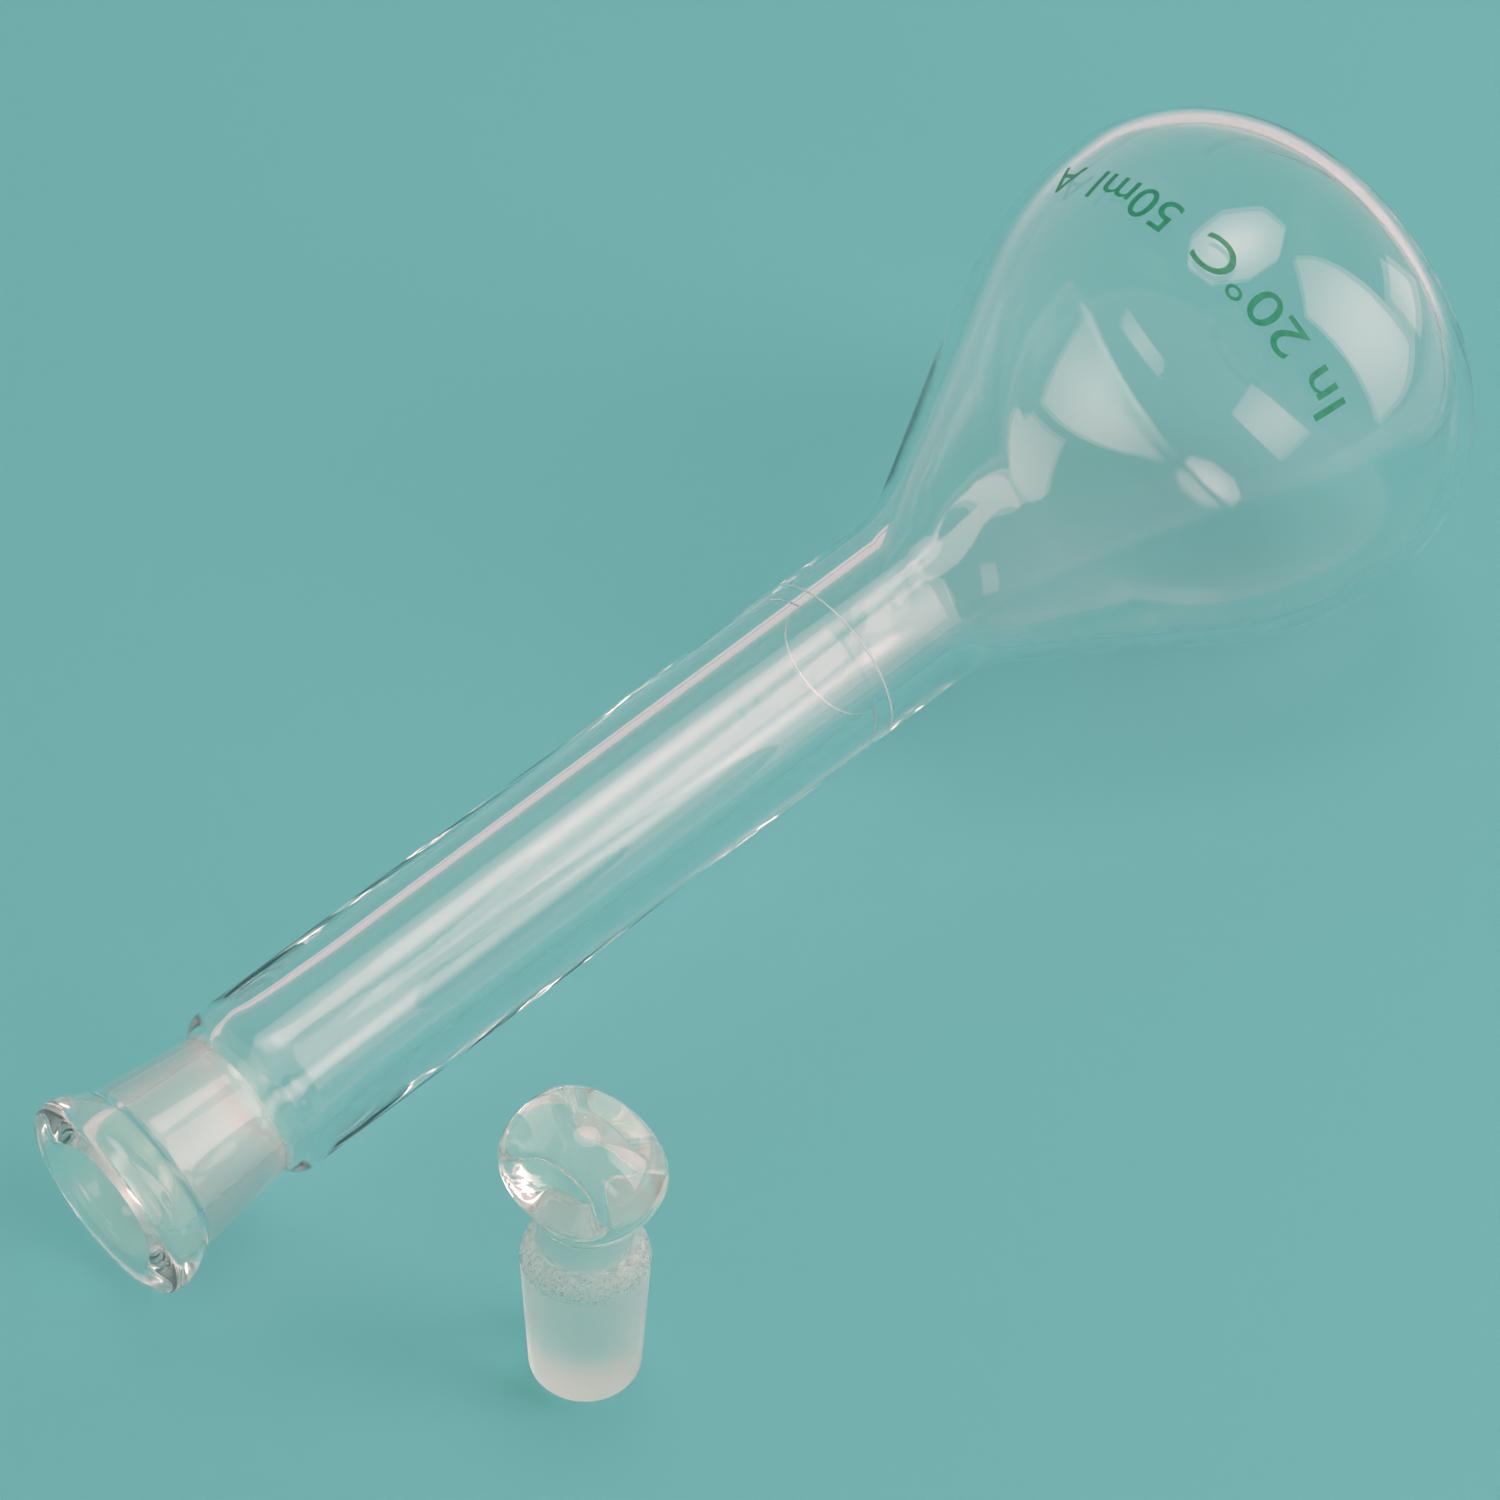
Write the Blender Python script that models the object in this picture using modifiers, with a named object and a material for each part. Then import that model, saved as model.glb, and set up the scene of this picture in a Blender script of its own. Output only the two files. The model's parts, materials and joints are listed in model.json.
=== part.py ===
"""A 50 ml volumetric flask of clear glass lying on its side, with its ground-glass stopper standing beside it.

Metres, +Z up, the floor at z = 0. Each turned piece is drawn upright, as (radius, height) points round its
own +Z axis, and then laid down or stood up by its parent empty. The flask rests on its bulb and on its rim.
"""

import math

import bpy
from mathutils import Euler, Matrix, Vector

# Flask, upright: heights are above the flat base
FLASK_HEIGHT = 0.1425
BULB_RADIUS = 0.0239
NECK_RADIUS = 0.0079
BULB_WALL = 0.0013
NECK_BORE = 0.0054
BASE_THICKNESS = 0.0024
WIDEST_HEIGHT = 0.0136
LOWER_ARC = 0.0145
HEEL_ARC = 0.0062
SHOULDER_ARC = 0.0326
NECK_FILLET = 0.0135
THROAT_FILLET = 0.0060  # on the inside, where the wall thickens from the bulb's to the neck's
CONE_ANGLE = math.radians(29)

# Ground socket, fused on the neck: depths are below the mouth
SEAM_DEPTH = 0.0145
COLLAR_RADIUS = 0.0093
COLLAR_EDGE = 0.0013
COLLAR_BACK = 0.0025
COLLAR_BACK_TURN = math.radians(50)
COLLAR_FILLET = 0.0020
SOCKET_TURN = math.radians(6)
SOCKET_END_RADIUS = 0.0067
MOUTH_RADIUS = 0.0057
MOUTH_EDGE = 0.0005
BORE_RADIUS = 0.00532
NECK_END_BEVEL = 0.0017
NECK_END_RADIUS = 0.0070
NECK_END_BORE = 0.0049
NECK_END_SWELL = 0.0059  # the bore widens behind the seam, then narrows to the neck's

# Ground stopper, standing on its small end
GROUND_TAPER = 0.05  # radius lost per unit of length, on the plug and in the socket
PLUG_HEIGHT = 0.0137
PLUG_TOP_RADIUS = 0.00523
FOOT_EDGE = 0.0004
SHOULDER_HEIGHT = 0.0024
STEM_RADIUS = 0.0039
WAIST_RADIUS = 0.0033
STEM_TOP = 0.0206  # inside the head
HEAD_HEIGHT = 0.0244
HEAD_RADIUS = 0.00685
HEAD_OFFSET = 0.00025  # sideways, off the plug's axis
HEAD_OVAL = 0.87  # its height as a share of its width
HEAD_HALF_THICKNESS = 0.0041
DISH_RADIUS = 0.0036
DISH_DEPTH = 0.0009
STOPPER_PLACE = (0.0233, -0.0323)  # from the point on the floor under the middle of the mouth
HEAD_TURN = math.radians(-78)

# Fits and fineness
GAP = 0.0003
FLASK_SIDES = 48
STOPPER_SIDES = 40
MERGE = 0.00001

CLEAR_GLASS = (0.86, 0.93, 0.92, 1.0)
FROSTED_GLASS = (0.90, 0.93, 0.92, 1.0)


def clear_scene():
    for obj in list(bpy.data.objects):
        bpy.data.objects.remove(obj, do_unlink=True)


def make_collection(name):
    collection = bpy.data.collections.new(name)
    bpy.context.scene.collection.children.link(collection)
    return collection


def glass_material(name, color, roughness):
    material = bpy.data.materials.new(name)
    material.use_nodes = True
    shader = material.node_tree.nodes["Principled BSDF"]
    shader.inputs["Base Color"].default_value = color
    shader.inputs["Roughness"].default_value = roughness
    shader.inputs["Metallic"].default_value = 0.0
    shader.inputs["Transmission Weight"].default_value = 1.0
    shader.inputs["IOR"].default_value = 1.47
    return material


def arc(center, radius, start, end, steps):
    """Points (radius, height) round a centre, from one angle to the other, both ends included."""
    points = []
    for step in range(steps + 1):
        angle = start + (end - start) * step / steps
        points.append((center[0] + radius * math.cos(angle), center[1] + radius * math.sin(angle)))
    return points


def turned(name, profile, sides, material, collection):
    """The solid that a profile of (radius, height) points sweeps round +Z."""
    mesh = bpy.data.meshes.new(name)
    edges = [(index, index + 1) for index in range(len(profile) - 1)]
    if profile[0][0] > 0:
        edges.append((len(profile) - 1, 0))
    mesh.from_pydata([(radius, 0, height) for radius, height in profile], edges, [])
    obj = bpy.data.objects.new(name, mesh)
    collection.objects.link(obj)
    screw = obj.modifiers.new("turn", "SCREW")
    screw.axis = "Z"
    screw.steps = sides
    screw.render_steps = sides
    screw.use_merge_vertices = True
    screw.merge_threshold = MERGE
    screw.use_smooth_shade = True
    obj.data.materials.append(material)
    return obj


def bulb_side(wall, neck_radius, fillet, steps):
    """The bulb's side from the neck down to its widest point: its outside, or its inside at a wall's distance."""
    shoulder_center = (BULB_RADIUS - SHOULDER_ARC, WIDEST_HEIGHT)
    shoulder_arc = SHOULDER_ARC - wall
    cone_foot = (
        shoulder_center[0] + shoulder_arc * math.cos(CONE_ANGLE),
        shoulder_center[1] + shoulder_arc * math.sin(CONE_ANGLE),
    )
    reach = fillet - (neck_radius + fillet - cone_foot[0]) * math.cos(CONE_ANGLE)
    neck_height = cone_foot[1] + reach / math.sin(CONE_ANGLE)
    throat = arc((neck_radius + fillet, neck_height), fillet, math.pi, math.pi + CONE_ANGLE, steps)
    shoulder = arc(shoulder_center, shoulder_arc, CONE_ANGLE, 0, 2 * steps)
    return throat + shoulder, neck_height


def bulb_profile():
    steps = 4
    outer, neck_height = bulb_side(0, NECK_RADIUS, NECK_FILLET, steps)
    inner, _ = bulb_side(BULB_WALL, NECK_BORE, THROAT_FILLET, steps)
    inner.insert(0, (NECK_BORE, neck_height))
    low_center = (BULB_RADIUS - LOWER_ARC, WIDEST_HEIGHT)
    heel_turn = math.asin((WIDEST_HEIGHT - HEEL_ARC) / (LOWER_ARC - HEEL_ARC))
    heel_center = (low_center[0] + (LOWER_ARC - HEEL_ARC) * math.cos(heel_turn), HEEL_ARC)
    outer += arc(low_center, LOWER_ARC, 0, -heel_turn, steps)[1:]
    outer += arc(heel_center, HEEL_ARC, -heel_turn, -math.pi / 2, 3)[1:]
    outer.append((0, 0))
    inner_arc = LOWER_ARC - BULB_WALL
    floor_turn = math.asin((WIDEST_HEIGHT - BASE_THICKNESS) / inner_arc)
    inner += arc(low_center, inner_arc, 0, -floor_turn, steps)[1:]
    inner.append((0, BASE_THICKNESS))
    return inner[::-1] + outer, neck_height


def neck_profile(neck_height):
    """The straight tube: its upper end is drawn in, outside and inside, to meet the socket."""
    top = FLASK_HEIGHT - SEAM_DEPTH - GAP / 2
    low = neck_height + GAP
    bevel = NECK_END_BEVEL
    shoulder = []
    for step in range(4):
        angle = math.pi / 2 * (1 - step / 3)
        shoulder.append((
            NECK_END_RADIUS + (NECK_RADIUS - NECK_END_RADIUS) * math.cos(angle),
            top - bevel + bevel * math.sin(angle),
        ))
    bore = [(NECK_BORE, low), (NECK_BORE, top - 8 * bevel), (NECK_END_SWELL, top - 1.8 * bevel)]
    mouth = [(NECK_END_BORE, top - 0.2 * bevel), (NECK_END_BORE, top)]
    return shoulder + [(NECK_RADIUS, low)] + bore + mouth


def socket_profile():
    """The socket with its round collar. Depths below the mouth are turned into heights at the end."""
    end = SEAM_DEPTH - GAP / 2
    edge_center = (COLLAR_RADIUS - COLLAR_EDGE, COLLAR_EDGE)
    back_center = (COLLAR_RADIUS - COLLAR_BACK, COLLAR_EDGE)
    back = arc(back_center, COLLAR_BACK, 0, COLLAR_BACK_TURN, 3)
    reach = COLLAR_BACK + COLLAR_FILLET
    fillet_center = (
        back_center[0] + reach * math.cos(COLLAR_BACK_TURN),
        back_center[1] + reach * math.sin(COLLAR_BACK_TURN),
    )
    turn = math.pi + COLLAR_BACK_TURN
    fillet = arc(fillet_center, COLLAR_FILLET, turn, math.pi + SOCKET_TURN, 3)
    lip_center = (MOUTH_RADIUS + MOUTH_EDGE - 0.0001, MOUTH_EDGE)
    lip = arc(lip_center, MOUTH_EDGE, math.pi, 1.5 * math.pi, 3)
    front = arc(edge_center, COLLAR_EDGE, -math.pi / 2, 0, 4)
    bore_end = BORE_RADIUS - GROUND_TAPER * end
    bore = [(bore_end, end), (BORE_RADIUS - GROUND_TAPER * 0.0018, 0.0018)]
    outline = front + back[1:] + fillet[1:] + [(SOCKET_END_RADIUS, end)] + bore + lip
    return [(radius, FLASK_HEIGHT - depth) for radius, depth in outline]


def plug_profile():
    """The ground plug with its rounded shoulder and short stem, closed on the axis at both ends."""
    foot_radius = PLUG_TOP_RADIUS - GROUND_TAPER * PLUG_HEIGHT
    foot = arc((foot_radius - FOOT_EDGE, FOOT_EDGE), FOOT_EDGE, 0, -math.pi / 2, 2)
    shoulder = []
    for step in range(1, 4):
        angle = math.pi / 2 * step / 3
        shoulder.append((
            STEM_RADIUS + (PLUG_TOP_RADIUS - STEM_RADIUS) * math.cos(angle),
            PLUG_HEIGHT + SHOULDER_HEIGHT * math.sin(angle),
        ))
    waist_height = PLUG_HEIGHT + SHOULDER_HEIGHT + 0.0016
    stem = [(0, STEM_TOP), (WAIST_RADIUS, STEM_TOP), (WAIST_RADIUS, waist_height)]
    return stem + shoulder[::-1] + [(PLUG_TOP_RADIUS, PLUG_HEIGHT)] + foot + [(0, 0)]


def head_profile():
    """Half the head's section, turned round its own short axis: a thick round rim and a dished middle."""
    rim_half = HEAD_HALF_THICKNESS
    rim = []
    for step in range(7):
        angle = math.pi / 2 * (1 - step / 3)
        crest = DISH_RADIUS + 0.0008
        rim.append((crest + (HEAD_RADIUS - crest) * math.cos(angle), rim_half * math.sin(angle)))
    floor = rim_half - DISH_DEPTH
    return [(0, floor), (DISH_RADIUS - 0.0006, floor)] + rim + [(DISH_RADIUS - 0.0006, -floor), (0, -floor)]


def apply_modifiers(obj):
    """Replaces an object's mesh with its evaluated one, so that it can be scaled, turned or joined."""
    graph = bpy.context.evaluated_depsgraph_get()
    mesh = bpy.data.meshes.new_from_object(obj.evaluated_get(graph))
    obj.modifiers.clear()
    obj.data = mesh


def make_stopper(parent, parts, cutters):
    frosted = glass_material("frosted_glass", FROSTED_GLASS, 0.55)
    stopper = turned("stopper", plug_profile(), STOPPER_SIDES, frosted, parts)
    stopper.parent = parent
    head = turned("stopper_head_form", head_profile(), STOPPER_SIDES, frosted, cutters)
    apply_modifiers(head)
    stand = Matrix.Rotation(HEAD_TURN, 4, "Z") @ Matrix.Rotation(math.pi / 2, 4, "X")
    head.data.transform(Matrix.Diagonal((1, 1, HEAD_OVAL, 1)) @ stand)
    head.parent = parent
    head.location = (-HEAD_OFFSET * math.cos(HEAD_TURN), -HEAD_OFFSET * math.sin(HEAD_TURN), HEAD_HEIGHT)
    head.hide_render = True
    head.display_type = "WIRE"
    join = stopper.modifiers.new("join_head", "BOOLEAN")
    join.operation = "UNION"
    join.solver = "EXACT"
    join.object = head
    return stopper


def resting_tilt(bulb, socket):
    """How far the axis rises towards the base when the flask lies on its rim and its bulb."""
    flat = math.cos(math.pi / FLASK_SIDES)  # a flat of the turned solid lies on the floor
    low, high = 0.0, math.radians(20)
    for _ in range(60):
        tilt = (low + high) / 2
        drop = []
        for profile in (socket, bulb):
            drop.append(min(
                (FLASK_HEIGHT - height) * math.sin(tilt) - radius * flat * math.cos(tilt)
                for radius, height in profile
            ))
        if drop[0] > drop[1]:
            low = tilt
        else:
            high = tilt
    return tilt, drop[0]


def center_on_floor(root, nodes):
    """Moves the whole object sideways so that the origin is under the middle of its box."""
    bpy.context.view_layer.update()
    graph = bpy.context.evaluated_depsgraph_get()
    corners = []
    for node in nodes:
        evaluated = node.evaluated_get(graph)
        corners += [evaluated.matrix_world @ vertex.co for vertex in evaluated.data.vertices]
    for axis in (0, 1):
        values = [corner[axis] for corner in corners]
        root.location[axis] -= (min(values) + max(values)) / 2


def make_empty(name, parent, collection):
    empty = bpy.data.objects.new(name, None)
    empty.parent = parent
    collection.objects.link(empty)
    return empty


def main():
    clear_scene()
    parts = make_collection("volumetric_flask")
    cutters = make_collection("cutters")
    root = make_empty("row_frame", None, parts)

    bulb_points, neck_height = bulb_profile()
    socket_points = socket_profile()
    tilt, drop = resting_tilt(bulb_points, socket_points)

    # The flask's own +Z points from its base to its mouth, and lies along -X once it is laid down
    flask_frame = make_empty("flask_frame", root, parts)
    lie = Euler((0, -(math.pi / 2 + tilt), 0)).to_matrix()
    half_side = Euler((0, 0, math.pi / FLASK_SIDES)).to_matrix()
    flask_frame.rotation_euler = (lie @ half_side).to_euler()
    axis = Vector((math.cos(tilt), 0, math.sin(tilt)))
    flask_frame.location = axis * FLASK_HEIGHT - Vector((0, 0, drop))

    clear = glass_material("clear_glass", CLEAR_GLASS, 0.03)
    socket_glass = glass_material("ground_glass", FROSTED_GLASS, 0.35)
    nodes = [
        turned("bulb", bulb_points, FLASK_SIDES, clear, parts),
        turned("neck_tube", neck_profile(neck_height), FLASK_SIDES, clear, parts),
        turned("ground_socket", socket_points, FLASK_SIDES, socket_glass, parts),
    ]
    for node in nodes:
        node.parent = flask_frame

    # The stopper's parent empty stands on the floor, on the axis that the stopper lifts along
    stopper_frame = make_empty("stopper_frame", root, parts)
    stopper_frame.location = (STOPPER_PLACE[0], STOPPER_PLACE[1], 0)
    nodes.append(make_stopper(stopper_frame, parts, cutters))
    center_on_floor(root, nodes)


main()
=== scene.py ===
"""The look of a clear glass volumetric flask lying on its side, with its ground stopper standing beside it.

The object's sizes are in millimetres and are scaled to metres where a mesh is made; the room's are in metres.
Each turned piece is drawn upright, as (radius, height) points round its own +Z axis, and is then laid down or
stood up where the frame says.
"""

import json
import math

import bmesh
import bpy
import numpy as np
from mathutils import Matrix, Vector


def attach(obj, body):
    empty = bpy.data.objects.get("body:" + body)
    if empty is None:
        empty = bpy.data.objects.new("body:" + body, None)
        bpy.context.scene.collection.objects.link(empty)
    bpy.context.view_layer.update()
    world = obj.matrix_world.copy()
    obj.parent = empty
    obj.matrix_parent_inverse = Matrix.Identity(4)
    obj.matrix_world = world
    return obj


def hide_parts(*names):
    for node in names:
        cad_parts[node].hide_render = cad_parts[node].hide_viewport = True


MM = 0.001

# Flask, upright: heights are above the flat base
HEIGHT = 142.5
BULB_RADIUS = 23.75
WIDEST_HEIGHT = 13.6
LOWER_ARC = 14.5
HEEL_ARC = 6.2
SHOULDER_ARC = 32.6
NECK_FILLET = 13.5
CONE_ANGLE = math.radians(29)
NECK_RADIUS = 7.88
BULB_WALL = 1.3
NECK_BORE = 5.4
THROAT_FILLET = 6.0
BASE_THICKNESS = 2.3
INNER_HEEL_ARC = 4.5
PUSH_UP = 0.5  # rise of the middle of the base

# Straight steps that each curve of the profile is cut into
FILLET_STEPS = 12
SHOULDER_STEPS = 24
LOWER_STEPS = 18
HEEL_STEPS = 12
BASE_STEPS = 24
KNOT_STEPS = 4  # between two knots of the socket

# Engraved ring and enamel print
RING_HEIGHT = 62.7
RING_WIDTH = 0.2
RING_DEPTH = 0.03
RING_PROUD = 0.008
RING_FACE = 0.6  # share of the ring's width that stands proud
PRINT_HEIGHT = 20.9
PRINT_SIZE = 4.6
PRINT_MIDDLE = 0.36  # of its size, from the foot of a letter to its middle
PRINT_WEIGHT = 0.01  # how far the strokes of the letters are widened
PRINT_THICKNESS = 0.03
PRINT_FLATTENING = 0.3  # share of its thickness that is left on the glass
PRINT_GAP = 0.012  # from the bulb to the middle of the print's thickness
PRINT_CURVE_STEPS = 5
PRINT_CUT = 0.35  # widest piece of a letter's mesh
PRINT_WORDS = (("In 20\u00b0C", -55, -8), ("50ml", 0, 24.5), ("A", 31, 39))  # each with the angles it spans

# Stopper, standing on its small end
PLUG_TOP_RADIUS = 5.22
PLUG_HEIGHT = 13.7
CUT_SHOULDER_TOP = 15.95
PLUG_TAPER = 0.05
FOOT_EDGE = 0.9
STEM_RADIUS = 3.7
WAIST = (  # radius at each height from the plug's top up to the stem
    (PLUG_HEIGHT, PLUG_TOP_RADIUS), (14.3, 5.12), (14.9, 4.88), (15.4, 4.58), (15.9, 4.22), (16.3, 3.95),
    (16.8, 3.78), (17.6, STEM_RADIUS),
)
DOME_START = 19.4  # where the stem starts to round off into the dish of the head
HEAD_HEIGHT = 24.4
HEAD_RADIUS = 6.8
HEAD_OVAL = 0.87  # the head's height as a share of its width
HEAD_HALF_THICKNESS = 4.08
HEAD_CREST = 4.5  # where the head is thickest, between its dish and its edge
DISH_DEPTH = 2.1
DISH_SLOPE = 2.2  # how far in from its crest the dish reaches its full depth
HEAD_TURN = math.radians(-78)  # which way the head's width points
HEAD_OFFSET = 0.25  # how far the head sits off the plug's axis
HEAD_BLEND = 1.1  # how wide the hollow between stem and head is rounded

# The stopper's mesh
STOPPER_SIDES = 144
FOOT_ROWS = 8
PLUG_ROWS = 13
NECK_ROWS = 39
HEAD_ROWS = 107
HEAD_START = 19  # height at which the rows of the head begin
LAST_ROW_ANGLE = 0.02  # radians between the last row and the top, seen from the head's middle
SEARCH_RADIUS = 9.0  # wider than every row
SEARCH_STEPS = 40

# Where the flask's glasses change, in depths below the mouth apart from the neck's start
GROUND_BORE = (5.0, 14.2)
GROUND_BORE_LIMIT = 5.6  # the bore lies within this radius
RIM_DEPTH = 3.6
SHOULDER_DEPTHS = (12.6, 15.4)
NECK_START = 52.0  # above the base

GLASS_BOUNCES = 48  # light goes round and round inside the thick glass before it comes out

TURN_STEPS = 192
MERGE_DISTANCE = 0.000002  # metres, for the points that a turned mesh has on its axis

CAMERA_PLACE = Vector((-173.14, -255.50, 380.97))  # from the floor under the middle of the mouth
CAMERA_RIGHT = Vector((0.73916, -0.67318, 0.02162))
CAMERA_DOWN = Vector((-0.47463, -0.54339, -0.69242))
CAMERA_FORWARD = Vector((0.47787, 0.50155, -0.72117))
LENS = 143.1
SENSOR_WIDTH = 36
NEAREST_SEEN = 0.05  # metres

GLASS_IOR = 1.47
THIN_COLOR = (0.98, 0.99, 0.985)
THICK_COLOR = (0.935, 0.985, 0.95)
GROUND_COLOR = (0.87, 0.93, 0.91, 1.0)
PIT_COLOR = (0.5, 0.58, 0.5, 1.0)
CUT_COLOR = (0.93, 0.95, 0.93, 1.0)
ETCHED_COLOR = (0.66, 0.88, 0.9, 1.0)
ENAMEL_LEVELS = ((20, 140, 104), (32, 156, 118))
GROUND_TRANSMISSION = 0.88
CUT_TRANSMISSION = 0.9
ETCHED_TRANSMISSION = 0.5
ROUGHNESS_SPREAD = 0.06

# How much light each glass lets through to its shadow
BULB_PASSING = (0.79, 0.82, 0.82)
NECK_PASSING = (0.93, 0.94, 0.94)
RIM_PASSING = (0.90, 0.92, 0.91)
HEAD_PASSING = (0.8, 0.84, 0.83)
GROUND_PASSING = (0.46, 0.52, 0.50)
ETCHED_PASSING = (0.8, 0.84, 0.84)

# The room, in metres
SOFTBOX_COLOR = (1.0, 0.61, 0.60)
SOFTBOX_REACH = 1.2  # from the middle of the floor to every corner but the overhead panel's
OVERHEAD_MIDDLE = (0.16, 0.09, 0.99)
OVERHEAD_RADIUS = 0.28
OVERHEAD_SIDES = 8
OVERHEAD_LIGHT = (6.2, 0.5)  # strength, and the share of it left at the corners
SOFTBOXES = (  # name, azimuth and elevation of each corner, strength, share of it left at the corners
    ("side_softbox", ((-33, 68), (-72, 54), (-69, 1), (-36, 10)), 5.4, 0.5),
    ("front_softbox", ((-119, 32), (-110, 42), (-91, 13), (-101, 6)), 3.6, 0.6),
    ("low_softbox", ((-7, 3), (-9, 19), (-31, 25), (-31, 7)), 3.2, 0.8),
)
FLOOR_SIZE = 6
FLOOR_DROP = 0.0002  # below the object's lowest point
PAPER_ROUGHNESS = 0.9
PAPER_SHINE = 0.2
PAPER_COLOR = (0.158, 0.53, 0.55, 1.0)
TABLE_COLOR = (0.70, 0.80, 0.86, 1.0)
PAPER_EDGE = (0.15, 0.2)  # from the middle, between which the paper gives way to the table
SKY_BANDS = (  # the sine of the elevation, and the colour there
    (0.0, (0.68, 0.60, 0.62, 1.0)),
    (0.3, (0.58, 0.54, 0.51, 1.0)),
    (0.55, (0.48, 0.51, 0.45, 1.0)),
    (0.8, (0.40, 0.46, 0.40, 1.0)),
)


def srgb(red, green, blue):
    """A linear colour from one written as 0 to 255."""
    values = []
    for level in (red, green, blue):
        level /= 255
        values.append(level / 12.92 if level <= 0.04045 else ((level + 0.055) / 1.055) ** 2.4)
    return (*values, 1.0)


def arc(center, radius, start, end, steps):
    """Points along an arc of a circle from one angle to another."""
    points = []
    for step in range(steps + 1):
        angle = start + (end - start) * step / steps
        points.append((center[0] + radius * math.cos(angle), center[1] + radius * math.sin(angle)))
    return points


def smooth_line(points, steps):
    """A Catmull-Rom curve through the points, with its ends kept."""
    line = []
    padded = [points[0]] + list(points) + [points[-1]]
    for index in range(1, len(padded) - 2):
        before, start, end, after = padded[index - 1:index + 3]
        for step in range(steps):
            t = step / steps
            line.append(tuple(
                0.5 * (
                    2 * b + (c - a) * t
                    + (2 * a - 5 * b + 4 * c - d) * t ** 2
                    + (3 * b - a - 3 * c + d) * t ** 3
                )
                for a, b, c, d in zip(before, start, end, after)
            ))
    line.append(points[-1])
    return line


def turned(name, profile, steps, closed=False):
    """A smooth solid of revolution about +Z. The profile runs down its outer side."""
    mesh = bpy.data.meshes.new(name)
    edges = [(index, index + 1) for index in range(len(profile) - 1)]
    if closed:
        edges.append((len(profile) - 1, 0))
    mesh.from_pydata([(radius * MM, 0, height * MM) for radius, height in profile], edges, [])
    obj = bpy.data.objects.new(name, mesh)
    bpy.context.scene.collection.objects.link(obj)
    screw = obj.modifiers.new("turn", "SCREW")
    screw.axis = "Z"
    screw.steps = steps
    screw.render_steps = steps
    screw.use_merge_vertices = True
    screw.merge_threshold = MERGE_DISTANCE
    screw.use_smooth_shade = True
    return bake(obj)


def bake(obj):
    """Replaces the object's mesh with its evaluated one."""
    graph = bpy.context.evaluated_depsgraph_get()
    mesh = bpy.data.meshes.new_from_object(obj.evaluated_get(graph))
    obj.modifiers.clear()
    obj.data = mesh
    return obj


def bulb_side(wall, neck_radius, fillet):
    """The bulb's side from the neck to its widest point: its outside, or its inside at a wall's distance."""
    shoulder_center = (BULB_RADIUS - SHOULDER_ARC, WIDEST_HEIGHT)
    shoulder_arc = SHOULDER_ARC - wall
    foot_radius = shoulder_center[0] + shoulder_arc * math.cos(CONE_ANGLE)
    foot_height = shoulder_center[1] + shoulder_arc * math.sin(CONE_ANGLE)
    reach = fillet - (neck_radius + fillet - foot_radius) * math.cos(CONE_ANGLE)
    fillet_center = (neck_radius + fillet, foot_height + reach / math.sin(CONE_ANGLE))
    throat = arc(fillet_center, fillet, math.pi, math.pi + CONE_ANGLE, FILLET_STEPS)
    return throat + arc(shoulder_center, shoulder_arc, CONE_ANGLE, 0, SHOULDER_STEPS)


def bulb_foot(wall, heel_arc, low_height):
    """From the widest point round the heel to where the base starts."""
    low_arc = LOWER_ARC - wall
    low_center = (BULB_RADIUS - LOWER_ARC, WIDEST_HEIGHT)
    heel_height = low_height + heel_arc
    turn = math.asin((WIDEST_HEIGHT - heel_height) / (low_arc - heel_arc))
    heel_center = (low_center[0] + (low_arc - heel_arc) * math.cos(turn), heel_height)
    low = arc(low_center, low_arc, 0, -turn, LOWER_STEPS)[1:]
    return low + arc(heel_center, heel_arc, -turn, -math.pi / 2, HEEL_STEPS)[1:]


def bulb_base(edge, rise):
    """From the edge of the base to its middle, which is domed up with no crease."""
    radius, height = edge
    line = []
    for step in range(1, BASE_STEPS + 1):
        share = step / BASE_STEPS
        line.append((radius * (1 - share), height + rise * (0.5 - 0.5 * math.cos(math.pi * share))))
    return line


def bulb_outer():
    """The outside from the neck down to the middle of the base."""
    line = bulb_side(0, NECK_RADIUS, NECK_FILLET) + bulb_foot(0, HEEL_ARC, 0)
    return line + bulb_base(line[-1], PUSH_UP)


def bulb_inner():
    """The inside from the middle of the base up to the neck's bore."""
    line = bulb_side(BULB_WALL, NECK_BORE, THROAT_FILLET)
    line += bulb_foot(BULB_WALL, INNER_HEEL_ARC, BASE_THICKNESS)
    line += bulb_base(line[-1], PUSH_UP)
    return line[::-1]


def socket_outer():
    """From the mouth down the outside to the end of the seam's shoulder."""
    knots = [
        (7.2, 0.0), (8.2, 0.04), (8.98, 0.28), (9.235, 0.95), (9.22, 1.7), (8.95, 2.6), (8.45, 3.5),
        (7.98, 4.2), (7.73, 4.9), (7.6, 6.0), (7.3, 8.6), (7.0, 11.0), (6.78, 12.7), (6.68, 13.5),
        (6.76, 14.1), (7.12, 14.6), (7.56, 15.1), (7.8, 15.7), (NECK_RADIUS, 16.6),
    ]
    return [(radius, HEIGHT - depth) for radius, depth in smooth_line(knots, KNOT_STEPS)]


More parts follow.
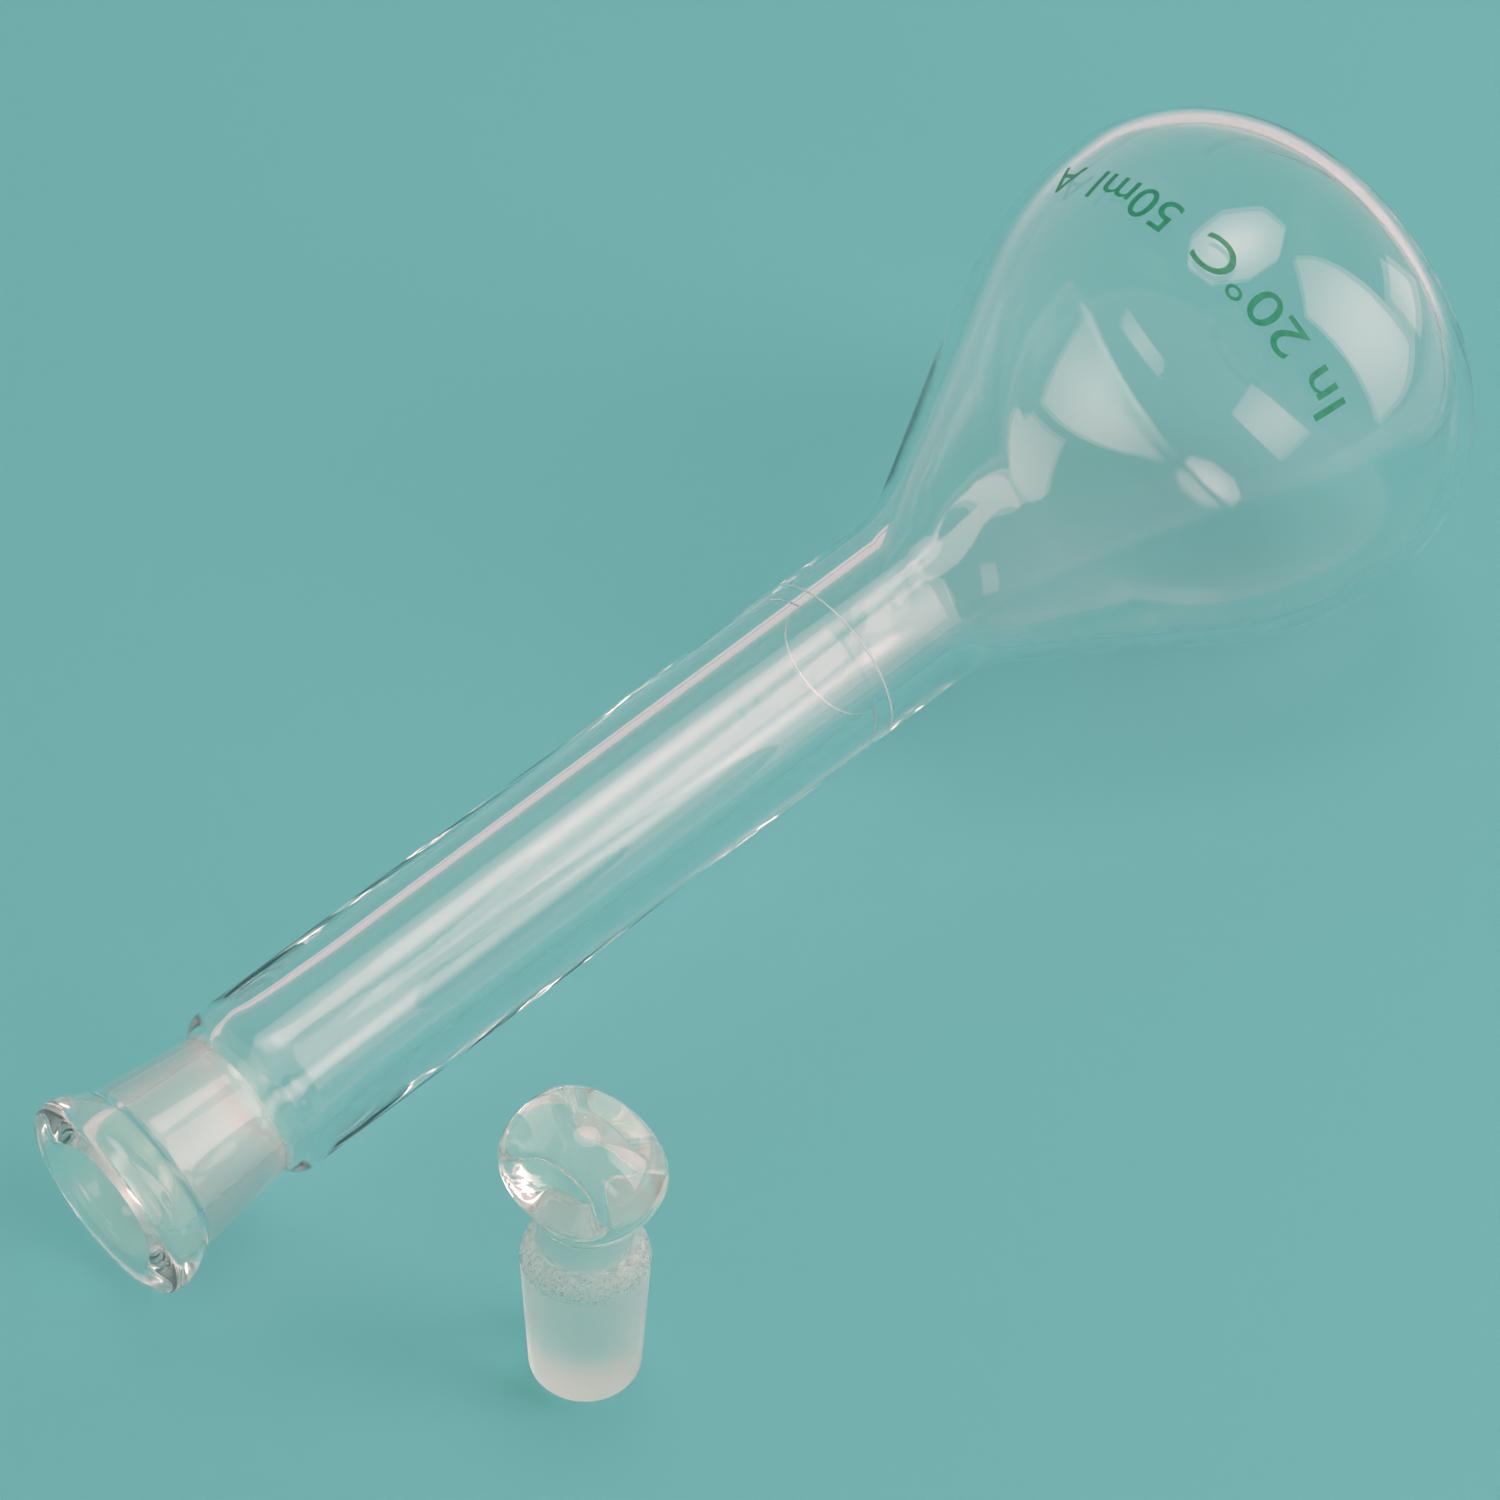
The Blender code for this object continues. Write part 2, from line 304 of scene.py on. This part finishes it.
def socket_inner():
    """From the neck's bore, which widens a little behind the seam, up the ground socket to the mouth."""
    knots = [
        (NECK_BORE, 34.0), (5.42, 29.0), (5.62, 23.5), (5.85, 19.5), (5.88, 17.6), (5.55, 16.1), (5.0, 15.0),
        (4.74, 14.4), (4.78, 13.4), (5.1, 7.0), (5.2, 5.0), (5.26, 2.6), (5.34, 1.2), (5.5, 0.5),
        (5.75, 0.14), (6.2, 0.0),
    ]
    return [(radius, HEIGHT - depth) for radius, depth in smooth_line(knots, KNOT_STEPS)]


def flask_profile():
    """The whole outline of the glass, from the inside of the base round the mouth to its underside."""
    return bulb_inner() + socket_inner() + socket_outer() + bulb_outer()


def principled(name):
    """A new material with its nodes and its links."""
    material = bpy.data.materials.new(name)
    material.use_nodes = True
    return material, material.node_tree.nodes, material.node_tree.links


def let_light_pass(nodes, links, shader, color):
    """Shadow rays go straight through the glass, dimmed to this colour, so that its shadow stays soft."""
    passing = nodes.new("ShaderNodeBsdfTransparent")
    passing.inputs["Color"].default_value = (*color, 1.0)
    ray = nodes.new("ShaderNodeLightPath")
    mix = nodes.new("ShaderNodeMixShader")
    links.new(ray.outputs["Is Shadow Ray"], mix.inputs["Fac"])
    links.new(shader.outputs["BSDF"], mix.inputs[1])
    links.new(passing.outputs["BSDF"], mix.inputs[2])
    links.new(mix.outputs["Shader"], nodes["Material Output"].inputs["Surface"])


def noise(nodes, links, scale, detail, low=0.3, high=0.7, start=0, end=1):
    """Fine noise in the object's own space, spread over start to end where it runs from low to high."""
    place = nodes.new("ShaderNodeTexCoord")
    texture = nodes.new("ShaderNodeTexNoise")
    texture.inputs["Scale"].default_value = scale
    texture.inputs["Detail"].default_value = detail
    spread = nodes.new("ShaderNodeMapRange")
    spread.inputs["From Min"].default_value = low
    spread.inputs["From Max"].default_value = high
    spread.inputs["To Min"].default_value = start
    spread.inputs["To Max"].default_value = end
    links.new(place.outputs["Object"], texture.inputs["Vector"])
    links.new(texture.outputs["Fac"], spread.inputs["Value"])
    return spread.outputs["Result"]


def bump(nodes, links, height, strength, distance):
    """A normal raised and sunk by a height, up to a distance in metres."""
    node = nodes.new("ShaderNodeBump")
    node.inputs["Strength"].default_value = strength
    node.inputs["Distance"].default_value = distance
    links.new(height, node.inputs["Height"])
    return node.outputs["Normal"]


def clear_glass(name, color, waviness, haze, passing):
    """Clear glass with the faint waves that drawing and blowing leave in it, and a share of haze."""
    material, nodes, links = principled(name)
    shader = nodes["Principled BSDF"]
    shader.inputs["Base Color"].default_value = (*color, 1.0)
    shader.inputs["Roughness"].default_value = 0.0
    shader.inputs["IOR"].default_value = GLASS_IOR
    shader.inputs["Transmission Weight"].default_value = 1 - haze
    waves = noise(nodes, links, scale=90, detail=2)
    links.new(bump(nodes, links, waves, strength=waviness, distance=0.0004), shader.inputs["Normal"])
    let_light_pass(nodes, links, shader, passing)
    return material


def ground_glass(name, roughness, grain):
    """Glass ground with fine grit: light spreads as it goes through."""
    material, nodes, links = principled(name)
    shader = nodes["Principled BSDF"]
    shader.inputs["Base Color"].default_value = GROUND_COLOR
    shader.inputs["IOR"].default_value = GLASS_IOR
    shader.inputs["Transmission Weight"].default_value = GROUND_TRANSMISSION
    smoothest = roughness - ROUGHNESS_SPREAD
    roughest = roughness + ROUGHNESS_SPREAD
    patches = noise(nodes, links, scale=700, detail=3, start=smoothest, end=roughest)
    links.new(patches, shader.inputs["Roughness"])
    grit = noise(nodes, links, scale=5000, detail=4)
    links.new(bump(nodes, links, grit, strength=grain, distance=0.00003), shader.inputs["Normal"])
    let_light_pass(nodes, links, shader, GROUND_PASSING)
    return material


def rough_glass(name):
    """The cut shoulder of the stopper: coarse pits and dark specks in half-clear glass."""
    material, nodes, links = principled(name)
    shader = nodes["Principled BSDF"]
    shader.inputs["IOR"].default_value = GLASS_IOR
    shader.inputs["Transmission Weight"].default_value = CUT_TRANSMISSION
    ramp = nodes.new("ShaderNodeValToRGB")
    ramp.color_ramp.elements[0].color = PIT_COLOR
    ramp.color_ramp.elements[1].color = CUT_COLOR
    specks = noise(nodes, links, scale=3200, detail=2, low=0.34, high=0.44)
    links.new(specks, ramp.inputs["Fac"])
    links.new(ramp.outputs["Color"], shader.inputs["Base Color"])
    patches = noise(nodes, links, scale=900, detail=3, low=0.35, high=0.65, start=0.12, end=0.45)
    links.new(patches, shader.inputs["Roughness"])
    pits = noise(nodes, links, scale=2600, detail=3)
    links.new(bump(nodes, links, pits, strength=0.3, distance=0.0002), shader.inputs["Normal"])
    let_light_pass(nodes, links, shader, GROUND_PASSING)
    return material


def enamel(name):
    """Green enamel fired on the glass, a little uneven in cover."""
    material, nodes, links = principled(name)
    shader = nodes["Principled BSDF"]
    ramp = nodes.new("ShaderNodeValToRGB")
    for element, levels in zip(ramp.color_ramp.elements, ENAMEL_LEVELS):
        element.color = srgb(*levels)
    cover = noise(nodes, links, scale=1500, detail=3, low=0.35, high=0.65)
    links.new(cover, ramp.inputs["Fac"])
    links.new(ramp.outputs["Color"], shader.inputs["Base Color"])
    patches = noise(nodes, links, scale=2600, detail=2, start=0.3, end=0.5)
    links.new(patches, shader.inputs["Roughness"])
    return material


def etched(name):
    """The pale matt floor of an engraved line."""
    material, nodes, links = principled(name)
    shader = nodes["Principled BSDF"]
    shader.inputs["Base Color"].default_value = ETCHED_COLOR
    shader.inputs["Transmission Weight"].default_value = ETCHED_TRANSMISSION
    patches = noise(nodes, links, scale=3000, detail=2, start=0.4, end=0.6)
    links.new(patches, shader.inputs["Roughness"])
    let_light_pass(nodes, links, shader, ETCHED_PASSING)
    return material


def flask_frame():
    """The flask's own frame: +X up, +Z from the base to the mouth."""
    toward_mouth = -base_axis
    side = Vector((0, 1, 0))
    up = side.cross(toward_mouth)
    lie = Matrix((up, side, toward_mouth)).transposed().to_4x4()
    return Matrix.Translation(mount_at["flask_base"]) @ lie


def paint(obj, materials, choose):
    """Gives each face the material that choose numbers for its centre's radius and height in millimetres."""
    obj.data.materials.clear()
    for material in materials:
        obj.data.materials.append(material)
    for face in obj.data.polygons:
        center = face.center / MM
        face.material_index = choose(math.hypot(center.x, center.y), center.z)


def flask_part(radius, height):
    """0 for the bulb's glass, 1 for the neck's, 2 for the thick rim and shoulder, 3 for the ground bore."""
    depth = HEIGHT - height
    if radius < GROUND_BORE_LIMIT and GROUND_BORE[0] < depth < GROUND_BORE[1]:
        return 3
    if depth < RIM_DEPTH or SHOULDER_DEPTHS[0] < depth < SHOULDER_DEPTHS[1]:
        return 2
    return 1 if height > NECK_START else 0


def make_flask():
    """The flask in one unbroken surface, inside and out."""
    flask = turned("flask_glass", flask_profile(), TURN_STEPS)
    paint(
        flask,
        (
            clear_glass("bulb_glass", THIN_COLOR, waviness=0.02, haze=0.0, passing=BULB_PASSING),
            clear_glass("neck_glass", THIN_COLOR, waviness=0.006, haze=0.0, passing=NECK_PASSING),
            clear_glass("thick_glass", THICK_COLOR, waviness=0.03, haze=0.06, passing=RIM_PASSING),
            ground_glass("ground_bore", roughness=0.38, grain=0.05),
        ),
        flask_part,
    )
    flask.data.transform(flask_frame())
    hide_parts("bulb", "neck_tube", "ground_socket")
    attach(flask, "flask")


def make_ring():
    """The engraved ring that the flask is filled to."""
    half = RING_WIDTH / 2
    profile = [
        (NECK_RADIUS - RING_DEPTH, RING_HEIGHT + half),
        (NECK_RADIUS + RING_PROUD, RING_HEIGHT + RING_FACE * half),
        (NECK_RADIUS + RING_PROUD, RING_HEIGHT - RING_FACE * half),
        (NECK_RADIUS - RING_DEPTH, RING_HEIGHT - half),
    ]
    ring = turned("graduation_ring", profile, TURN_STEPS, closed=True)
    ring.data.materials.append(etched("etched_line"))
    ring.data.transform(flask_frame())
    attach(ring, "flask")


def bulb_line():
    """The bulb's outer side from its foot up as (distance, radius, height), to wrap the print round."""
    line = []
    travelled = 0.0
    side = bulb_side(0, NECK_RADIUS, NECK_FILLET) + bulb_foot(0, HEEL_ARC, 0)
    previous = side[-1]
    for point in reversed(side):
        travelled += math.dist(point, previous)
        line.append((travelled, *point))
        previous = point
    return line


def on_line(line, column, value):
    """The other two numbers of a line where one of its columns, which only grows, has this value."""
    for low, high in zip(line, line[1:]):
        if low[column] <= value <= high[column]:
            share = (value - low[column]) / (high[column] - low[column])
            return [a + (b - a) * share for a, b in zip(low, high)]
    return line[-1]


def make_print():
    """The fired print, wrapped round the bulb: its letters stand towards the mouth."""
    line = bulb_line()
    start = on_line(line, 2, PRINT_HEIGHT - PRINT_MIDDLE * PRINT_SIZE)[0]
    for index, (words, from_angle, to_angle) in enumerate(PRINT_WORDS):
        text = bpy.data.curves.new("print", "FONT")
        text.body = words
        text.size = PRINT_SIZE
        text.offset = PRINT_WEIGHT
        text.extrude = PRINT_THICKNESS
        text.resolution_u = PRINT_CURVE_STEPS
        holder = bpy.data.objects.new("print_form", text)
        bpy.context.scene.collection.objects.link(holder)
        graph = bpy.context.evaluated_depsgraph_get()
        mesh = bpy.data.meshes.new_from_object(holder.evaluated_get(graph))
        bpy.data.objects.remove(holder)
        fine_cut(mesh, PRINT_CUT)
        left = min(vertex.co.x for vertex in mesh.vertices)
        right = max(vertex.co.x for vertex in mesh.vertices)
        for vertex in mesh.vertices:
            _, radius, height = on_line(line, 0, start + vertex.co.y)
            share = (vertex.co.x - left) / (right - left)
            turn = math.radians(from_angle + (to_angle - from_angle) * share)
            lift = radius + PRINT_GAP + PRINT_FLATTENING * vertex.co.z
            vertex.co = Vector((lift * math.cos(turn), lift * math.sin(turn), height)) * MM
        obj = bpy.data.objects.new(f"print_{index + 1}", mesh)
        bpy.context.scene.collection.objects.link(obj)
        obj.data.materials.append(enamel(f"green_enamel_{index + 1}"))
        obj.data.transform(flask_frame())
        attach(obj, "flask")


def fine_cut(mesh, size):
    """Cuts a flat mesh into pieces no wider than size, so that it can bend."""
    cut = bmesh.new()
    cut.from_mesh(mesh)
    for axis in (0, 1):
        values = [vertex.co[axis] for vertex in cut.verts]
        for step in range(1, int((max(values) - min(values)) / size) + 1):
            point = [0, 0, 0]
            normal = [0, 0, 0]
            point[axis] = min(values) + step * size
            normal[axis] = 1
            geometry = cut.verts[:] + cut.edges[:] + cut.faces[:]
            bmesh.ops.bisect_plane(cut, geom=geometry, plane_co=point, plane_no=normal)
    cut.to_mesh(mesh)
    cut.free()


def plug_radius(height):
    """The stopper's radius below its head: rounded foot, taper, rounded shoulder, waist and stem."""
    taper = PLUG_TOP_RADIUS - PLUG_TAPER * (PLUG_HEIGHT - height)
    foot = np.clip((FOOT_EDGE - height) / FOOT_EDGE, 0, 1)
    radius = taper - FOOT_EDGE * (1 - np.sqrt(1 - foot ** 2))
    waist = np.interp(height, *zip(*WAIST))
    return np.where(height < PLUG_HEIGHT, radius, waist)


def stopper_field(x, y, z):
    """Below zero inside the stopper: its plug and stem, with the dished head blended on."""
    above = np.clip(z - DOME_START, 0, None)
    stem = np.sqrt(x ** 2 + y ** 2 + above ** 2) - plug_radius(np.minimum(z, DOME_START))
    along = x * math.cos(HEAD_TURN) + y * math.sin(HEAD_TURN) + HEAD_OFFSET
    across = -x * math.sin(HEAD_TURN) + y * math.cos(HEAD_TURN)
    reach = np.hypot(along, (z - HEAD_HEIGHT) / HEAD_OVAL)
    rim = (reach - HEAD_CREST) / (HEAD_RADIUS - HEAD_CREST) * HEAD_HALF_THICKNESS
    round_rim = np.hypot(rim, across) - HEAD_HALF_THICKNESS
    share = np.clip((HEAD_CREST - reach) / DISH_SLOPE, 0, 1)
    hollow = DISH_DEPTH * (0.5 - 0.5 * np.cos(math.pi * share))
    face = np.abs(across) - (HEAD_HALF_THICKNESS - hollow)
    head = np.where(reach > HEAD_CREST, round_rim, face)
    blend = np.clip(0.5 + 0.5 * (head - stem) / HEAD_BLEND, 0, 1)
    return head + (stem - head) * blend - HEAD_BLEND * blend * (1 - blend)


def stopper_rows():
    """Heights of the rows of the stopper's mesh, closer together at the foot, the shoulder and the top."""
    foot_turns = [step * math.pi / (2 * FOOT_ROWS) for step in range(1, FOOT_ROWS + 1)]
    foot = [FOOT_EDGE * (1 - math.cos(turn)) for turn in foot_turns]
    plug = list(np.linspace(FOOT_EDGE, PLUG_HEIGHT, PLUG_ROWS + 1)[1:])
    neck = list(np.linspace(PLUG_HEIGHT, HEAD_START, NECK_ROWS + 1)[1:])
    top = HEAD_HEIGHT + HEAD_RADIUS * HEAD_OVAL
    first_turn = math.acos((HEAD_START - HEAD_HEIGHT) / (top - HEAD_HEIGHT))
    turns = np.linspace(first_turn, LAST_ROW_ANGLE, HEAD_ROWS + 1)
    head = [HEAD_HEIGHT + (top - HEAD_HEIGHT) * math.cos(turn) for turn in turns[1:]]
    return np.array([0.0] + foot + plug + neck + head), top


def stopper_part(_, height):
    """0 for the ground plug, 1 for the cut shoulder, 2 for the clear stem and head."""
    if height < PLUG_HEIGHT:
        return 0
    return 1 if height < CUT_SHOULDER_TOP else 2


def make_stopper():
    """Each row is a ring of points, found by halving the way out to where the field changes sign."""
    heights, top = stopper_rows()
    turns = np.arange(STOPPER_SIDES) * 2 * math.pi / STOPPER_SIDES
    z, turn = np.meshgrid(heights, turns, indexing="ij")
    low = np.zeros_like(z)
    high = np.full_like(z, SEARCH_RADIUS)
    for _ in range(SEARCH_STEPS):
        middle = (low + high) / 2
        inside = stopper_field(middle * np.cos(turn), middle * np.sin(turn), z) < 0
        low = np.where(inside, middle, low)
        high = np.where(inside, high, middle)
    points = np.stack([low * np.cos(turn), low * np.sin(turn), z], axis=-1).reshape(-1, 3) * MM
    sides = STOPPER_SIDES
    faces = []
    for row in range(len(heights) - 1):
        for side in range(sides):
            after = (side + 1) % sides
            start = row * sides
            faces.append((start + side, start + after, start + sides + after, start + sides + side))
    count = len(points)
    faces += [(count, after, side) for side, after in zip(range(sides), [*range(1, sides), 0])]
    last = (len(heights) - 1) * sides
    faces += [(count + 1, last + side, last + (side + 1) % sides) for side in range(sides)]
    mesh = bpy.data.meshes.new("stopper_glass")
    mesh.from_pydata([*points.tolist(), (0, 0, 0), (0, 0, top * MM)], [], faces)
    mesh.polygons.foreach_set("use_smooth", [True] * len(faces))
    stopper = bpy.data.objects.new("stopper_glass", mesh)
    bpy.context.scene.collection.objects.link(stopper)
    paint(
        stopper,
        (
            ground_glass("ground_plug", roughness=0.5, grain=0.25),
            rough_glass("cut_shoulder"),
            clear_glass("clear_head", THICK_COLOR, waviness=0.04, haze=0.09, passing=HEAD_PASSING),
        ),
        stopper_part,
    )
    stopper.data.transform(Matrix.Translation(mount_at["stopper_foot"]))
    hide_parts("stopper")
    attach(stopper, "stopper")


def make_floor():
    """Teal paper under the object, fading into a pale table round it."""
    bpy.ops.mesh.primitive_plane_add(size=FLOOR_SIZE, location=(0, 0, -FLOOR_DROP))
    floor = bpy.context.object
    floor.name = "floor"
    material, nodes, links = principled("floor_paper")
    place = nodes.new("ShaderNodeTexCoord")
    reach = nodes.new("ShaderNodeVectorMath")
    reach.operation = "LENGTH"
    spread = nodes.new("ShaderNodeMapRange")
    spread.inputs["From Min"].default_value = PAPER_EDGE[0]
    spread.inputs["From Max"].default_value = PAPER_EDGE[1]
    ramp = nodes.new("ShaderNodeValToRGB")
    ramp.color_ramp.elements[0].color = PAPER_COLOR
    ramp.color_ramp.elements[1].color = TABLE_COLOR
    links.new(place.outputs["Object"], reach.inputs[0])
    links.new(reach.outputs["Value"], spread.inputs["Value"])
    links.new(spread.outputs["Result"], ramp.inputs["Fac"])
    links.new(ramp.outputs["Color"], nodes["Principled BSDF"].inputs["Base Color"])
    nodes["Principled BSDF"].inputs["Roughness"].default_value = PAPER_ROUGHNESS
    nodes["Principled BSDF"].inputs["Specular IOR Level"].default_value = PAPER_SHINE
    floor.data.materials.append(material)


def direction(azimuth, elevation):
    """The unit vector that points this way, in degrees."""
    az = math.radians(azimuth)
    el = math.radians(elevation)
    return Vector((math.cos(el) * math.cos(az), math.cos(el) * math.sin(az), math.sin(el)))


def softbox(name, corners, strength, fade):
    """A glowing panel. Its light falls away from its middle, to the fade share at its furthest corner."""
    middle = sum(corners, Vector()) / len(corners)
    mesh = bpy.data.meshes.new(name)
    mesh.from_pydata([corner - middle for corner in corners], [], [tuple(range(len(corners)))])
    panel = bpy.data.objects.new(name, mesh)
    bpy.context.scene.collection.objects.link(panel)
    panel.location = middle
    material, nodes, links = principled(name)
    nodes.remove(nodes["Principled BSDF"])
    glow = nodes.new("ShaderNodeEmission")
    glow.inputs["Color"].default_value = (*SOFTBOX_COLOR, 1.0)
    place = nodes.new("ShaderNodeTexCoord")
    reach = nodes.new("ShaderNodeVectorMath")
    reach.operation = "LENGTH"
    fall = nodes.new("ShaderNodeMapRange")
    fall.interpolation_type = "SMOOTHSTEP"
    fall.inputs["From Min"].default_value = 0.0
    fall.inputs["From Max"].default_value = max((corner - middle).length for corner in corners)
    fall.inputs["To Min"].default_value = strength
    fall.inputs["To Max"].default_value = strength * fade
    links.new(place.outputs["Object"], reach.inputs[0])
    links.new(reach.outputs["Value"], fall.inputs["Value"])
    links.new(fall.outputs["Result"], glow.inputs["Strength"])
    links.new(glow.outputs["Emission"], nodes["Material Output"].inputs["Surface"])
    mesh.materials.append(material)


def make_lights():
    """An eight-sided panel overhead and three four-sided ones round the object."""
    x, y, height = OVERHEAD_MIDDLE
    overhead = []
    for step in range(OVERHEAD_SIDES):
        turn = math.radians((step + 0.5) * 360 / OVERHEAD_SIDES)
        corner = (x + OVERHEAD_RADIUS * math.cos(turn), y + OVERHEAD_RADIUS * math.sin(turn), height)
        overhead.append(Vector(corner))
    softbox("overhead_softbox", overhead, *OVERHEAD_LIGHT)
    for name, aims, strength, fade in SOFTBOXES:
        softbox(name, [direction(*aim) * SOFTBOX_REACH for aim in aims], strength, fade)


def make_world():
    """Pale walls low down, and a dimmer greenish grey overhead."""
    world = bpy.data.worlds.new("studio")
    world.use_nodes = True
    nodes = world.node_tree.nodes
    links = world.node_tree.links
    place = nodes.new("ShaderNodeTexCoord")
    split = nodes.new("ShaderNodeSeparateXYZ")
    ramp = nodes.new("ShaderNodeValToRGB")
    ramp.color_ramp.elements.remove(ramp.color_ramp.elements[1])
    ramp.color_ramp.elements[0].position = SKY_BANDS[0][0]
    ramp.color_ramp.elements[0].color = SKY_BANDS[0][1]
    for height, color in SKY_BANDS[1:]:
        ramp.color_ramp.elements.new(height).color = color
    links.new(place.outputs["Generated"], split.inputs["Vector"])
    links.new(split.outputs["Z"], ramp.inputs["Fac"])
    links.new(ramp.outputs["Color"], nodes["Background"].inputs["Color"])
    bpy.context.scene.world = world


def make_camera():
    """The camera of the photograph, placed from the flask's mouth."""
    data = bpy.data.cameras.new("camera")
    data.lens = LENS
    data.sensor_width = SENSOR_WIDTH
    data.clip_start = NEAREST_SEEN
    camera = bpy.data.objects.new("camera", data)
    bpy.context.scene.collection.objects.link(camera)
    axes = Matrix((CAMERA_RIGHT, -CAMERA_DOWN, -CAMERA_FORWARD)).transposed().to_4x4()
    mouth = mount_at["flask_base"] - base_axis * HEIGHT * MM
    place = Vector((mouth.x, mouth.y, 0)) + CAMERA_PLACE * MM
    camera.matrix_world = Matrix.Translation(place) @ axes
    bpy.context.scene.camera = camera


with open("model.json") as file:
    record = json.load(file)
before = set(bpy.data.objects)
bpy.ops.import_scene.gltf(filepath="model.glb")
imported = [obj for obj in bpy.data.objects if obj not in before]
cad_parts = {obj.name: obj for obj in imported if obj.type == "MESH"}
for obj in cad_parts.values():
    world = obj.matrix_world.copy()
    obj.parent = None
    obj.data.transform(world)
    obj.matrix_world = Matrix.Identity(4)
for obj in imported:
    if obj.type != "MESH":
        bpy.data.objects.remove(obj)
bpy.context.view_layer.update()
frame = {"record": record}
mount_at = {item["name"]: Vector(item["pos_m"]) for item in frame["record"]["mounts"]}
base_axis = next(
    Vector(item["axis"]).normalized() for item in frame["record"]["mounts"] if item["name"] == "flask_base"
)

make_flask()
make_ring()
make_print()
make_stopper()
make_floor()
make_lights()
make_world()
make_camera()
bpy.context.scene.view_settings.view_transform = "Standard"
bpy.context.scene.cycles.max_bounces = GLASS_BOUNCES
bpy.context.scene.cycles.glossy_bounces = GLASS_BOUNCES
bpy.context.scene.cycles.transmission_bounces = GLASS_BOUNCES
